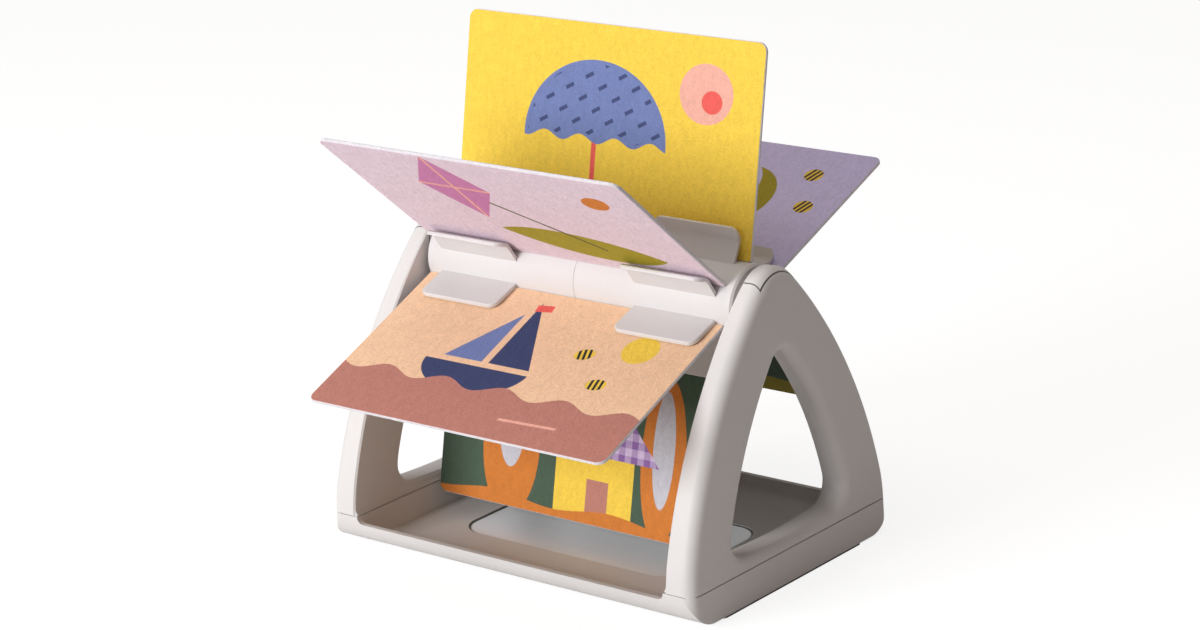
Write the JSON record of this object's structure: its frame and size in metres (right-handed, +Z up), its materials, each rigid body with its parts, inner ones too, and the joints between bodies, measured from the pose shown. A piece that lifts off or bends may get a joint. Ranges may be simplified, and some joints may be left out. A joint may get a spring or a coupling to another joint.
{
  "type": "tummy time book",
  "caption": "Baby's tummy time book: picture cards clipped round a drum that turns between two arched uprights, over a tray with a mirror in its floor.",
  "frame": {"origin": "on the floor, under the middle of the drum", "axes": "+X along the drum to the right upright, +Y to the back, +Z up"},
  "size_m": [0.1872, 0.1889, 0.212],
  "materials": {
    "shell_plastic": "fine matt moulded plastic, warm off-white",
    "drum_plastic": "fine matt moulded plastic, warm off-white",
    "mirror_sheet": "acrylic safety mirror",
    "foot_rubber": "matt soft rubber",
    "screw_steel": "zinc plated",
    "card_lilac_felt": "felted board, printed",
    "card_yellow_felt": "felted board, printed",
    "card_pink_felt": "felted board, printed",
    "card_peach_felt": "felted board, printed",
    "card_green_felt": "felted board, printed",
    "card_forest_felt": "felted board, printed"
  },
  "bodies": {
    "stand": {"base_tray": "shell_plastic", "mirror": "mirror_sheet", "mirror_cover": "shell_plastic", "foot_left": "foot_rubber", "foot_right": "foot_rubber", "upright_left": "shell_plastic", "upright_right": "shell_plastic", "axle_cap_left": "shell_plastic", "axle_cap_right": "shell_plastic", "screws_left": "screw_steel", "screws_right": "screw_steel"},
    "drum": {"drum_left": "drum_plastic", "drum_right": "drum_plastic", "drum_end_left": "drum_plastic", "drum_end_right": "drum_plastic", "card_lilac": "card_lilac_felt", "card_yellow": "card_yellow_felt", "card_pink": "card_pink_felt", "card_peach": "card_peach_felt", "card_green": "card_green_felt", "card_forest": "card_forest_felt"}
  },
  "joints": [
    {"name": "drum_spin", "type": "hinge", "parent": "stand", "child": "drum", "pos_m": [0, 0, 0.112], "axis": [1, 0, 0], "continuous": true}
  ]
}
